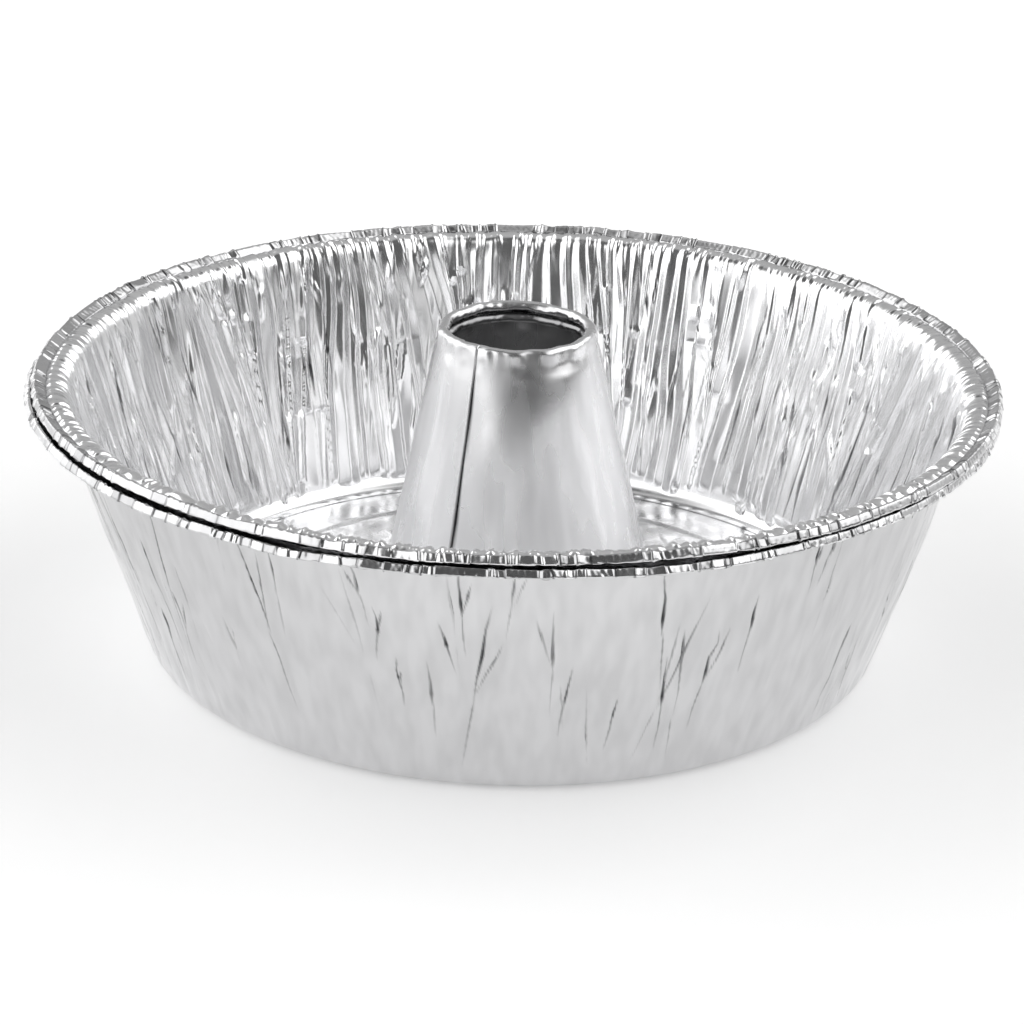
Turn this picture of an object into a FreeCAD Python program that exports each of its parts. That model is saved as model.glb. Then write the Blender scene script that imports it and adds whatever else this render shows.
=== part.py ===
import FreeCAD, Part
import math
import os

# Two identical foil tube pans, one nested in the other.
# Each pan is a pressed shell and a rolled conical tube that is clinched into its floor.
# The base of the lower pan rests on z = 0 and the tubes stand on the Z axis. Sizes are in mm.

# Driving dimensions
rim_radius = 124.0
pan_height = 70.0
foil = 0.15
wall_taper_deg = 18.0
upper_taper_deg = 16.0
wall_bend_height = 40.0
wall_bend_radius = 60.0
base_corner_radius = 5.5
shoulder_radius = 3.9
shoulder_rise = 0.6
shelf_width = 4.4
hem_width = 3.9
hem_rise = 1.9
hem_drop = 0.35
hem_crown_radius = 1.6
hem_bend_radius = 0.25
hem_tuck = 0.8

floor_ring_width = 13.0
bead_width = 4.4
bead_height = 1.5
bead_bend_radius = 1.0
panel_rise = 1.0

tube_top_radius = 20.3
tube_taper_deg = 12.1
tube_rise = 11.4
curl_radius = 1.45
curl_return_radius = 0.85
curl_turn_deg = 250.0

collar_height = 1.6
flange_width = 3.0
foot_bend_radius = 0.4
lap_width = 6.0
lap_start_deg = -121.0
lap_end_gap = 0.3

# Clearances
seat_gap = 0.03
nest_gap = 0.74
least_nest_gap = 0.32

# Sizes that follow from them
half = foil / 2.0
wall_slope = math.tan(math.radians(wall_taper_deg))
upper_slope = math.tan(math.radians(upper_taper_deg))
tube_slope = math.tan(math.radians(tube_taper_deg))
tube_height = pan_height + tube_rise
curl_bend = curl_radius - half
curl_start = tube_height - half - curl_bend * (1.0 - math.sin(math.radians(tube_taper_deg)))
floor_z = half
panel_z = panel_rise + half
hem_top_z = pan_height - half
crease_z = hem_top_z - hem_rise
shoulder_z = crease_z + shoulder_rise
crease_radius = rim_radius - hem_width
wall_top_radius = crease_radius - shelf_width
wall_bend_middle = wall_top_radius - upper_slope * (shoulder_z - wall_bend_height)
base_radius = wall_bend_middle - wall_slope * (wall_bend_height - floor_z)
corner_turn = math.radians(90.0 - wall_taper_deg)
corner_tangent = base_corner_radius * math.tan(corner_turn / 2.0)
bead_outer = base_radius - corner_tangent - floor_ring_width
bead_inner = bead_outer - bead_width

# The pans stack at the height where every pair of facing walls still clears.
stack_pitch = max(
    (nest_gap + foil) / math.sin(math.radians(min(wall_taper_deg, upper_taper_deg))),
    (least_nest_gap + 2.0 * foil) / math.sin(math.radians(tube_taper_deg)),
    curl_radius + curl_return_radius + foil + least_nest_gap,
    hem_rise + hem_drop + foil + least_nest_gap,
    collar_height + 2.0 * foil + seat_gap + least_nest_gap,
)


def tube_radius(z):
    """Radius of the middle of the tube's foil at height z."""
    return tube_top_radius - half + tube_slope * (curl_start - z)


def unit(a, b):
    length = math.hypot(b[0] - a[0], b[1] - a[1])
    return ((b[0] - a[0]) / length, (b[1] - a[1]) / length)


def bent_path(corners):
    """Lines and tangent arcs through (radius, z, bend radius) corners.

    A line is ("line", start, end) and an arc is ("arc", centre, bend radius, start angle, turn).
    """
    pieces = []
    start = corners[0][:2]
    for before, here, after in zip(corners, corners[1:], corners[2:]):
        way_in = unit(before, here)
        way_out = unit(here, after)
        turn = math.atan2(
            way_in[0] * way_out[1] - way_in[1] * way_out[0],
            way_in[0] * way_out[0] + way_in[1] * way_out[1],
        )
        tangent = here[2] * math.tan(abs(turn) / 2.0)
        side = math.copysign(1.0, turn)
        arc_start = (here[0] - way_in[0] * tangent, here[1] - way_in[1] * tangent)
        arc_end = (here[0] + way_out[0] * tangent, here[1] + way_out[1] * tangent)
        centre = (
            arc_start[0] - side * way_in[1] * here[2],
            arc_start[1] + side * way_in[0] * here[2],
        )
        angle = math.atan2(arc_start[1] - centre[1], arc_start[0] - centre[0])
        if math.hypot(arc_start[0] - start[0], arc_start[1] - start[1]) > 1e-6:
            pieces.append(("line", start, arc_start))
        pieces.append(("arc", centre, here[2], angle, turn))
        start = arc_end
    pieces.append(("line", start, corners[-1][:2]))
    return pieces


def end_arc(pieces, bend_radius, turn):
    """The path with one more tangent arc at its end. A positive turn is to the left."""
    last = pieces[-1]
    if last[0] == "line":
        way = unit(last[1], last[2])
        point = last[2]
    else:
        end = last[3] + last[4]
        side = math.copysign(1.0, last[4])
        way = (-side * math.sin(end), side * math.cos(end))
        point = arc_point(last[1], last[2], end)
    side = math.copysign(1.0, turn)
    centre = (point[0] - side * way[1] * bend_radius, point[1] + side * way[0] * bend_radius)
    angle = math.atan2(point[1] - centre[1], point[0] - centre[0])
    return pieces + [("arc", centre, bend_radius, angle, turn)]


def arc_point(centre, radius, angle):
    return (centre[0] + radius * math.cos(angle), centre[1] + radius * math.sin(angle))


def vector(point):
    return FreeCAD.Vector(point[0], 0.0, point[1])


def side_edges(pieces, offset):
    """Edges of the path moved to its left by offset."""
    edges = []
    for piece in pieces:
        if piece[0] == "line":
            way = unit(piece[1], piece[2])
            shift = (-way[1] * offset, way[0] * offset)
            ends = [vector((p[0] + shift[0], p[1] + shift[1])) for p in piece[1:]]
            edges.append(Part.LineSegment(*ends).toShape())
        else:
            centre, bend_radius, angle, turn = piece[1:]
            radius = bend_radius - math.copysign(offset, offset * turn)
            points = [vector(arc_point(centre, radius, angle + turn * k)) for k in (0.0, 0.5, 1.0)]
            edges.append(Part.Arc(*points).toShape())
    return edges


def foil_face(pieces, thickness=foil):
    """The section of a foil whose middle follows the path."""
    left = side_edges(pieces, thickness / 2.0)
    right = side_edges(pieces, -thickness / 2.0)
    caps = [
        Part.LineSegment(left[0].firstVertex().Point, right[0].firstVertex().Point).toShape(),
        Part.LineSegment(left[-1].lastVertex().Point, right[-1].lastVertex().Point).toShape(),
    ]
    return Part.Face(Part.Wire(Part.__sortEdges__(left + right + caps)))


def spun(face, degrees=360.0):
    return face.revolve(FreeCAD.Vector(), FreeCAD.Vector(0, 0, 1), degrees)


def shell():
    """Pressed pan: collar round the tube, raised panel, bead, base corner, wall, shoulder and hem."""
    collar_offset = foil + seat_gap
    collar_top = panel_z + half + collar_height
    hem_under_z = crease_z - hem_drop
    rim_middle = rim_radius - half
    corners = [
        (tube_radius(collar_top) + collar_offset, collar_top, 0.0),
        (tube_radius(panel_z) + collar_offset, panel_z, foot_bend_radius),
        (bead_inner, panel_z, bead_bend_radius),
        ((bead_inner + bead_outer) / 2.0, floor_z + bead_height, bead_bend_radius),
        (bead_outer, floor_z, bead_bend_radius),
        (base_radius, floor_z, base_corner_radius),
        (wall_bend_middle, wall_bend_height, wall_bend_radius),
        (wall_top_radius, shoulder_z, shoulder_radius),
        (crease_radius, crease_z, hem_bend_radius),
        (crease_radius + hem_bend_radius, hem_top_z, hem_crown_radius),
        (rim_middle, hem_top_z, hem_crown_radius),
        (rim_middle, hem_under_z, hem_bend_radius),
        (crease_radius + hem_tuck, hem_under_z, 0.0),
    ]
    return spun(foil_face(bent_path(corners)))


def tube():
    """Rolled cone: flange under the floor, tapered wall with a lap seam, and a curled top."""
    flange_z = panel_z - foil - seat_gap
    foot_radius = tube_radius(flange_z)
    wall_path = bent_path(
        [
            (foot_radius + flange_width, flange_z, 0.0),
            (foot_radius, flange_z, foot_bend_radius),
            (tube_radius(curl_start), curl_start, 0.0),
        ]
    )
    over = end_arc(wall_path, curl_bend, math.radians(180.0 - tube_taper_deg))
    curled = end_arc(over, curl_return_radius, math.radians(curl_turn_deg - 180.0))
    cone = spun(foil_face(curled))

    lap_low = panel_z + collar_height + lap_end_gap
    lap_high = curl_start - lap_end_gap
    lap_path = bent_path(
        [(tube_radius(z) + foil, z, 0.0) for z in (lap_low, lap_high)]
    )
    lap = spun(foil_face(lap_path), math.degrees(lap_width / tube_radius(lap_low)))
    lap.rotate(FreeCAD.Vector(), FreeCAD.Vector(0, 0, 1), lap_start_deg)
    return cone.fuse(lap).removeSplitter()


def main():
    os.makedirs("parts", exist_ok=True)
    for name, piece in (("shell", shell()), ("tube", tube())):
        for pan, lift in (("lower_pan", 0.0), ("upper_pan", stack_pitch)):
            placed = piece.copy()
            placed.translate(FreeCAD.Vector(0, 0, lift))
            solid = placed.Solids[0]
            box = solid.BoundBox
            print(pan, name, len(placed.Solids), solid.isValid(), round(solid.Volume, 1),
                  "z", round(box.ZMin, 3), round(box.ZMax, 3), "x", round(box.XMax, 3))
            solid.exportStep(f"parts/{pan}_{name}.step")


main()
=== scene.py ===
import math

import bpy
import numpy as np
from mathutils import Matrix, Vector


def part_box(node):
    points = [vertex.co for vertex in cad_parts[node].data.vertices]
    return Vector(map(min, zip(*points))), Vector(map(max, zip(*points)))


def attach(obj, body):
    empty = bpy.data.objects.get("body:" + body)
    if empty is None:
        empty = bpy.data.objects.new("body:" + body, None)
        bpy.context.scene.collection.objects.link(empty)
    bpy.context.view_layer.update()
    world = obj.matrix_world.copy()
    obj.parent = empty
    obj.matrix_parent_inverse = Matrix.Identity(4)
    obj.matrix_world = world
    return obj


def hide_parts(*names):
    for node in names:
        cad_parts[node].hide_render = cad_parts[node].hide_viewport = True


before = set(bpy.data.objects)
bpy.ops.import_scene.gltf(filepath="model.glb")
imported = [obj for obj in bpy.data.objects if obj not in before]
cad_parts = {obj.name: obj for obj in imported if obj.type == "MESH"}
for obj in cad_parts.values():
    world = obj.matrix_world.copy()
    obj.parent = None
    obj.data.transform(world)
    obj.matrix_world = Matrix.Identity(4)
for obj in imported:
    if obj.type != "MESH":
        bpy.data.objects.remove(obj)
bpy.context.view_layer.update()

bl_info = {
    "name": "Foil tube pans",
    "version": (1, 0, 0),
    "blender": (4, 5, 0),
    "location": "View3D > Sidebar > Foil pans",
    "description": "Builds two nested foil tube cake pans: pleated walls, crimped hems, floors and tubes",
    "category": "Add Mesh",
}

# Two nested foil tube pans around the frame's CAD. The wall and hem of each are height fields over
# the CAD's own profile, and its floor and tube are grown by geometry nodes. Lengths are in metres.
MM = 0.001
LOWER_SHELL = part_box("lower_pan_shell")
UPPER_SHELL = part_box("upper_pan_shell")
LOWER_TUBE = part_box("lower_pan_tube")
PITCH = UPPER_SHELL[0].z - LOWER_SHELL[0].z

# Each pan: its body, its lift in the stack and the seed of its folds.
PANS = (("lower_pan", 0.0, 11), ("upper_pan", PITCH, 29))

# Columns of the grids round the pan, and the number of pieces that a wall is cut into.
WALL_COLUMNS = 2560
HEM_COLUMNS = 3200
WALL_SECTORS = 4

# Painted shade that a whole face keeps: the outer wall, and the lower tube deep in the upper one.
PAINTED_OUTER_SHADE = 0.27
PAINTED_LOWER_TUBE_SHADE = 0.55

# Where the tube has slipped sideways: its foot to +X, and all of it a little back to -X.
FOOT_SLIP = 1.9 * MM
TUBE_SHIFT = 0.3 * MM

# Where the two rims stand further apart: middle and width in degrees, then the extra gap in mm.
RIM_GAPS = ((-135.0, 11.0, 0.35), (-115.0, 4.0, 0.8), (-73.0, 7.0, 0.65))

# Waves of a rim: waves round the pan, their start for the lower and the upper pan, height in mm.
RIM_WAVES = (
    (5.0, {"lower_pan": 0.5, "upper_pan": 0.5}, 0.12),
    (9.0, {"lower_pan": 1.2, "upper_pan": 1.2}, 0.08),
    (17.0, {"lower_pan": 3.23, "upper_pan": 0.85}, 0.05),
    (31.0, {"lower_pan": 0.76, "upper_pan": 0.2}, 0.04),
)


def linear(hex_colour):
    """An sRGB hex colour as linear red, green, blue."""
    channels = [int(hex_colour[i:i + 2], 16) / 255.0 for i in (1, 3, 5)]
    return tuple(c / 12.92 if c <= 0.04045 else ((c + 0.055) / 1.055) ** 2.4 for c in channels)


def length(name, description, millimetres):
    return bpy.props.FloatProperty(
        name=name, description=description, default=millimetres * MM, unit="LENGTH",
        subtype="DISTANCE", precision=5,
    )


def slant(name, description, degrees):
    return bpy.props.FloatProperty(
        name=name, description=description, default=math.radians(degrees), subtype="ANGLE",
    )


def finish(name, description, hex_colour):
    return bpy.props.FloatVectorProperty(
        name=name, description=description, default=linear(hex_colour), subtype="COLOR",
        min=0.0, max=1.0,
    )


class FoilPanSizes(bpy.types.PropertyGroup):
    """Sizes of one pan. The overall ones start from the frame."""

    rim_radius: length("Rim radius", "Outer radius of the hem", LOWER_SHELL[1].x / MM)
    pan_height: length("Pan height", "From the base to the top of the hem", LOWER_SHELL[1].z / MM)
    tube_height: length("Tube height", "From the base to the top of the curl", LOWER_TUBE[1].z / MM)
    foil: length("Foil", "Thickness of the foil with its gathers", 0.15)
    wall_taper: slant("Wall taper", "Lean of the lower wall from upright", 18.0)
    upper_taper: slant("Upper taper", "Lean of the upper wall from upright", 16.0)
    wall_bend_height: length("Wall bend height", "Where the wall's lean changes", 40.0)
    wall_bend: length("Wall bend", "Bend between the two leans of the wall", 60.0)
    corner_bend: length("Corner bend", "Bend between floor and wall", 5.5)
    shoulder_bend: length("Shoulder bend", "Bend between wall and shelf", 3.9)
    shoulder_rise: length("Shoulder rise", "Height of the shelf's inner edge over the crease", 0.6)
    shelf_width: length("Shelf width", "From the wall's top to the crease", 4.4)
    hem_width: length("Hem width", "From the crease to the outer edge", 3.9)
    hem_rise: length("Hem rise", "Height of the hem over the crease", 1.9)
    hem_drop: length("Hem drop", "Depth of the hem's under side below the crease", 0.35)
    hem_lean: length("Hem lean", "From the hem's outer edge in to its crest", 1.1)
    hem_crown: length("Hem crown", "Bend of the hem's crest", 0.55)
    hem_bend: length("Hem bend", "Bend of the crease and of the lower edge", 0.25)
    hem_tuck: length("Hem tuck", "From the crease to the tucked edge", 0.8)
    ring_width: length("Floor ring", "Flat ring between the corner and the bead", 13.0)
    bead_width: length("Bead width", "Width of the stiffening bead", 4.4)
    bead_height: length("Bead height", "Height of the bead over the ring", 1.5)
    panel_rise: length("Panel rise", "Height of the middle of the floor over the ring", 1.0)
    collar_height: length("Collar height", "Turned-up edge of the floor round the tube", 1.6)
    tube_top_radius: length("Tube top radius", "Outer radius just under the curl", 20.3)
    tube_taper: slant("Tube taper", "Lean of the tube from upright", 12.1)
    curl_radius: length("Curl radius", "Outer radius of the curl's section", 1.45)
    curl_return: length("Curl return", "Radius of the tucked end of the curl", 0.85)
    flange_width: length("Flange width", "Width of the tube's foot under the floor", 3.0)
    lap_width: length("Lap width", "Overlap of the tube's seam at its foot", 6.0)
    lap_edge: slant("Lap edge", "Where the seam's outer edge stands at the tube's foot", -123.6)
    lap_slant: slant("Lap slant", "How far the seam turns round the tube on its way up", 4.9)
    seat_gap: length("Seat gap", "Gap between the tube and the floor", 0.03)


class FoilPanLook(bpy.types.PropertyGroup):
    """What the pressing does to the foil, and its colours."""

    pleat_width: length("Pleat width", "Usual spacing of the folds at the rim", 1.5)
    pleat_depth: length("Pleat depth", "Height of the tallest pleats", 0.95)
    crease_depth: length("Crease depth", "Depth of the creases that show outside", 0.5)
    hem_cell: length("Hem facet", "Usual length of a facet of the hem", 3.0)
    dent_depth: length("Dent depth", "Depth of the soft dents in floor and tube", 0.16)
    bright_foil: finish("Bright foil", "Colour of the shell's foil", "#F8F8F9")
    satin_foil: finish("Satin foil", "Colour of the tube's foil", "#E8E8E9")
    # Painted shade: the dark colour mixed into the foil in closed folds, along the tube's seam, on the hem
    # and over the outer wall and lower tube.
    painted_shade_colour: finish("Fold shade", "Colour deep inside a closed fold", "#3C3C3E")
    floor_colour: finish("Floor", "Colour of the studio floor", "#F6F6F6")


class PanShape:
    """Sizes that follow from the sizes of the pan, in metres, with the base on z = 0."""

    def __init__(self, sizes):
        self.sizes = sizes
        half = sizes.foil / 2.0
        turn = math.pi / 2.0 - sizes.wall_taper
        self.half = half
        self.floor_z = half
        self.panel_z = sizes.panel_rise + half
        self.hem_top = sizes.pan_height - half
        self.crease_z = self.hem_top - sizes.hem_rise
        self.shoulder_z = self.crease_z + sizes.shoulder_rise
        self.crease = sizes.rim_radius - sizes.hem_width
        self.wall_top = self.crease - sizes.shelf_width
        upper_rise = self.shoulder_z - sizes.wall_bend_height
        self.wall_middle = self.wall_top - upper_rise * math.tan(sizes.upper_taper)
        lower_rise = sizes.wall_bend_height - self.floor_z
        self.base = self.wall_middle - lower_rise * math.tan(sizes.wall_taper)
        self.corner = self.base - sizes.corner_bend * math.tan(turn / 2.0)
        self.bead_outer = self.corner - sizes.ring_width
        self.bead_inner = self.bead_outer - sizes.bead_width
        self.curl_bend = sizes.curl_radius - half
        self.curl_start = sizes.tube_height - half
        self.curl_start -= self.curl_bend * (1.0 - math.sin(sizes.tube_taper))

    def wall_corners(self):
        """Corner, wall and shoulder as (radius, height, bend)."""
        sizes = self.sizes
        return [
            (self.corner, self.floor_z, 0.0),
            (self.base, self.floor_z, sizes.corner_bend),
            (self.wall_middle, sizes.wall_bend_height, sizes.wall_bend),
            (self.wall_top, self.shoulder_z, sizes.shoulder_bend),
            (self.crease, self.crease_z, 0.0),
        ]

    def hem_corners(self):
        """The rolled hem as (radius, height, bend), from the crease to the tucked edge."""
        sizes = self.sizes
        rim = sizes.rim_radius - self.half
        under = self.crease_z - sizes.hem_drop
        return [
            (self.crease, self.crease_z, 0.0),
            (rim - sizes.hem_lean, self.hem_top, sizes.hem_crown),
            (rim, under, sizes.hem_bend),
            (self.crease + sizes.hem_tuck, under, 0.0),
        ]

    def tube_radius(self, z):
        """Middle of the tube's foil at height z."""
        slope = math.tan(self.sizes.tube_taper)
        return self.sizes.tube_top_radius - self.half + slope * (self.curl_start - z)


def shape_of(context):
    return PanShape(context.scene.foil_pan_sizes)


# ---------------------------------------------------------------- paths and fields


def leftward(heading):
    return np.array([-math.sin(heading), math.cos(heading)])


def bent_path(corners, line_step, arc_step):
    """Points and left normals along lines and tangent arcs through (radius, height, bend) corners."""
    points = [np.array(corners[0][:2])]
    headings = []

    def go_line(target):
        gap = target - points[-1]
        size = np.linalg.norm(gap)
        if size < 1e-8:
            return
        count = max(1, round(size / line_step))
        start = points[-1]
        for k in range(1, count + 1):
            points.append(start + gap * k / count)
            headings.append(math.atan2(gap[1], gap[0]))

    for before, here, after in zip(corners, corners[1:], corners[2:]):
        way_in = np.array(here[:2]) - np.array(before[:2])
        way_out = np.array(after[:2]) - np.array(here[:2])
        start_heading = math.atan2(way_in[1], way_in[0])
        turn = math.atan2(way_out[1], way_out[0]) - start_heading
        turn = (turn + math.pi) % (2.0 * math.pi) - math.pi
        tangent = here[2] * math.tan(abs(turn) / 2.0)
        go_line(np.array(here[:2]) - way_in / np.linalg.norm(way_in) * tangent)
        count = max(2, math.ceil(abs(turn) * here[2] / arc_step))
        side = math.copysign(1.0, turn)
        centre = points[-1] + here[2] * side * leftward(start_heading)
        for k in range(1, count + 1):
            heading = start_heading + turn * k / count
            points.append(centre - here[2] * side * leftward(heading))
            headings.append(heading)
    go_line(np.array(corners[-1][:2]))
    points = np.array(points)
    headings = np.unwrap(np.array(headings))
    at_points = np.concatenate([headings[:1], (headings[:-1] + headings[1:]) / 2.0, headings[-1:]])
    normals = np.stack([-np.sin(at_points), np.cos(at_points)], axis=1)
    return points, normals


def run_length(points):
    steps = np.linalg.norm(np.diff(points, axis=0), axis=1)
    return np.concatenate([[0.0], np.cumsum(steps)])


def smooth(low, high, value):
    """0 below low, 1 above high, and a smooth step between."""
    share = np.clip((value - low) / (high - low), 0.0, 1.0)
    return share * share * (3.0 - 2.0 * share)


def swell(angles, middle, width):
    """A soft bump of height 1 round a middle angle, both in degrees."""
    away = (angles - math.radians(middle) + math.pi) % (2.0 * math.pi) - math.pi
    return np.exp(-((away / math.radians(width)) ** 2))


def ripple(angles, along, seed, radius, round_size, along_size, waves=36):
    """Soft closed noise of about unit height: sizes are wavelengths round the pan and along it."""
    rng = np.random.default_rng(seed)
    total = np.zeros(np.broadcast(angles, along).shape)
    for _ in range(waves):
        laps = max(1, round(2.0 * math.pi * radius / round_size * rng.uniform(0.45, 1.5)))
        pace = 2.0 * math.pi / along_size * rng.normal(0.0, 0.9)
        total += np.cos(laps * angles + pace * along + rng.uniform(0.0, 2.0 * math.pi))
    return total * math.sqrt(2.0 / waves)


def blurred(values, columns):
    """A row softened over a number of columns, closed round the pan."""
    reach = int(math.ceil(columns * 2.5))
    offsets = np.arange(-reach, reach + 1)
    weights = np.exp(-0.5 * (offsets / max(columns, 1e-3)) ** 2)
    padded = np.concatenate([values[-reach:], values, values[:reach]])
    return np.convolve(padded, weights / weights.sum(), mode="valid")


class Field:
    """Heights and painted shade over a grid of columns round the pan and rows along its wall."""

    def __init__(self, corners, columns, line_step, arc_step):
        self.profile, self.normals = bent_path(corners, line_step, arc_step)
        self.columns = columns
        self.along = run_length(self.profile)
        self.radius = self.profile[:, 0]
        self.angles = np.arange(columns) * 2.0 * math.pi / columns
        self.height = np.zeros((len(self.profile), columns))
        self.fold = np.zeros((len(self.profile), columns))

    def stamp(self, rows, centre, reach, shape, join=np.maximum, onto="height"):
        """Joins shape(across) into the rows within reach of the centre angles."""
        rows = np.asarray(rows)
        if len(rows) == 0:
            return
        step = 2.0 * math.pi / self.columns * self.radius[rows]
        middle = centre / (2.0 * math.pi) * self.columns
        span = int(math.ceil(reach / step.min())) + 1
        offsets = np.arange(-span, span + 1)
        columns = np.floor(middle)[:, None].astype(int) + offsets[None, :]
        values = shape((columns - middle[:, None]) * step[:, None])
        index = (np.repeat(rows, len(offsets)), (columns % self.columns).ravel())
        target = getattr(self, onto)
        target[index] = join(target[index], values.ravel())

    def skin(self, side):
        """Points of one face of the foil, side times half the foil from its middle."""
        offset = side + self.height
        radius = self.profile[:, 0, None] + self.normals[:, 0, None] * offset
        height = self.profile[:, 1, None] + self.normals[:, 1, None] * offset
        return np.stack([radius * np.cos(self.angles), radius * np.sin(self.angles), height], axis=-1)


class Line:
    """A line down the wall: nearly straight, with a lean and a few slight kinks."""

    def __init__(self, rng, angle, low, high, lean, sway):
        self.angle, self.low, self.high, self.lean = angle, low, high, lean
        self.stops = np.linspace(low, high, rng.integers(3, 6))
        self.sway = rng.normal(0.0, sway, len(self.stops))

    def on(self, field):
        """Rows of the field on the line, their angles, and their share from its low to its high end."""
        rows = np.nonzero((field.along > self.low) & (field.along < self.high))[0]
        at = field.along[rows]
        offset = np.interp(at, self.stops, self.sway) + self.lean * (at - self.high)
        share = (at - self.low) / (self.high - self.low)
        return rows, self.angle + offset / field.radius[rows], share


def spaced(rng, usual, spread, least, most, radius):
    """Angles right round the pan with log-normal spacing."""
    count = int(2.0 * math.pi * radius / usual * 1.6)
    gaps = np.clip(rng.lognormal(math.log(usual), spread, count), least, most)
    angles = np.cumsum(gaps) / radius
    return angles[angles < 2.0 * math.pi - least / radius]


def pleats(field, shape, rng, usual, depth):
    """Folds on the cake side: near-straight crests and roots that lean, merge and end in round tips.

    Crests and roots stand at the same angles low and high on the wall, with other heights, and
    change from the one set of heights to the other near the middle of the wall.
    """
    leaning_together = 9
    change_reach = 24.0 * MM
    top = field.along[-1]
    corner_end = shape.sizes.corner_bend * (math.pi / 2.0 - shape.sizes.wall_taper)
    angles = spaced(rng, usual, 0.55, usual / 3.0, usual * 3.6, shape.wall_top)
    count = len(angles)
    gaps = np.diff(np.append(angles, angles[0] + 2.0 * math.pi)) * shape.wall_top

    def profile():
        slopes = rng.uniform(0.5, 1.3, count) * np.where(np.arange(count) % 2, 1.0, -1.0)
        slopes = np.where(gaps > usual * 1.7, slopes * 0.22, slopes)
        heights = np.zeros(count)
        value = depth * 0.4
        for k in range(count):
            heights[k] = value
            value += slopes[k] * gaps[k]
            if value > depth or value < 0.0:
                value = heights[k] - slopes[k] * gaps[k]
            value = min(max(value, 0.0), depth)
        return heights

    high, low = profile(), profile()
    groups = np.arange(0, count + leaning_together, leaning_together)
    lean = np.interp(np.arange(count), groups, rng.normal(0.0, 0.11, len(groups)))
    lean += rng.normal(0.0, 0.035, count)
    waves = []
    for length_along, size in ((64.0, 0.55), (33.0, 0.22)):
        start = blurred(rng.normal(0.0, 7.0, count), 9.0) + rng.normal(0.0, 0.2, count)
        sway = size * rng.uniform(0.7, 1.3, count) * MM
        waves.append((2.0 * math.pi / (length_along * MM), start, sway))
    tips = corner_end * rng.uniform(0.5, 1.1, count) + abs(rng.normal(0.0, 1.6 * MM, count))
    tip_size = rng.uniform(1.0, 2.4, count) * MM
    change = rng.uniform(0.4, 0.6, count) * top
    for row, at in enumerate(field.along):
        wander = sum(sway * np.sin(pace * at + start) for pace, start, sway in waves)
        spot = angles + (wander + lean * (at - top)) / field.radius[row]
        spot = (np.maximum.accumulate(spot) + np.minimum.accumulate(spot[::-1])[::-1]) / 2.0
        mix = smooth(change - change_reach, change + change_reach, at)
        heights = low * (1.0 - mix) + high * mix
        heights = heights * np.sqrt(np.clip((at - tips) / tip_size, 0.0, 1.0))
        line = np.interp(field.angles, spot, heights, period=2.0 * math.pi)
        soften = (0.17 + 0.08 * (1.0 - smooth(0.1 * top, 0.6 * top, at))) * MM
        step = 2.0 * math.pi * field.radius[row] / field.columns
        field.height[row] += blurred(line, soften / step)


def raise_lump(field, angle, middle, tilt, radius, stretch, lift):
    """A round lump, stretched along the wall and tilted from it."""
    rows = np.nonzero(np.abs(field.along - middle) < radius * stretch)[0]
    off = field.along[rows] - middle
    down = (off[:, None] / (radius * stretch)) ** 2

    def lump(across):
        return lift * np.clip(1.0 - (across / radius) ** 2 - down, 0.0, 1.0)

    field.stamp(rows, angle + tilt * off / field.radius[rows], radius, lump, np.add)


def knots(field, rng, count, size):
    """Small crumples where a pleat has buckled."""
    for _ in range(count):
        middle = rng.uniform(0.42, 0.93) * field.along[-1]
        radius = rng.uniform(0.35, 0.7) * MM
        angle = rng.uniform(0.0, 2.0 * math.pi)
        lift = rng.choice([-1.0, 1.0]) * rng.uniform(0.4, 1.0) * size
        tilt = rng.normal(0.0, 0.9)
        raise_lump(field, angle, middle, tilt, radius, rng.uniform(1.0, 2.2), lift)


def taper_along(share, peak):
    """0 at both ends of a line and 1 at its peak."""
    rise = np.clip(share / peak, 0.0, 1.0)
    fall = np.clip((1.0 - share) / (1.0 - peak), 0.0, 1.0)
    return np.minimum(rise, fall) ** 0.8


def cut_slit(field, line, width, depth, flap, dark, peak, inwards):
    """A closed fold seen from one side: a tapered groove with one lip proud, with painted shade at its
    bottom.
    """
    rows, centre, share = line.on(field)
    if len(rows) < 3:
        return
    least_half_width = 0.19 * MM
    lip_run = 1.4 * MM
    far_run = 0.3 * MM
    reach = max(width, 5.0 * MM)
    taper = taper_along(share, peak)[:, None]
    half_width = np.maximum(width / 2.0 * taper, least_half_width)
    lip = 1.0 if line.lean > 0.0 else -1.0

    def groove(across):
        side = across * lip
        proud = np.where(side > 0.0, np.exp(-side / lip_run), np.exp(side / far_run))
        cut = np.clip(1.0 - np.abs(across) / half_width, 0.0, 1.0)
        return inwards * (depth * taper * cut - flap * taper * proud * (1.0 - cut))

    def shade(across):
        return dark * np.sqrt(taper) * np.clip(1.9 - 1.2 * np.abs(across) / half_width, 0.0, 1.0)

    field.stamp(rows, centre, reach, groove, np.add)
    field.stamp(rows, centre, width, shade, np.maximum, "fold")


def raise_ridge(field, line, width, height, peak):
    """A narrow ridge along a line."""
    rows, centre, share = line.on(field)
    crown = height * taper_along(share, peak)[:, None]

    def ridge(across):
        return crown * np.clip(1.0 - (across / (width / 2.0)) ** 2, 0.0, 1.0)

    field.stamp(rows, centre, width, ridge, np.add)


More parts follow.
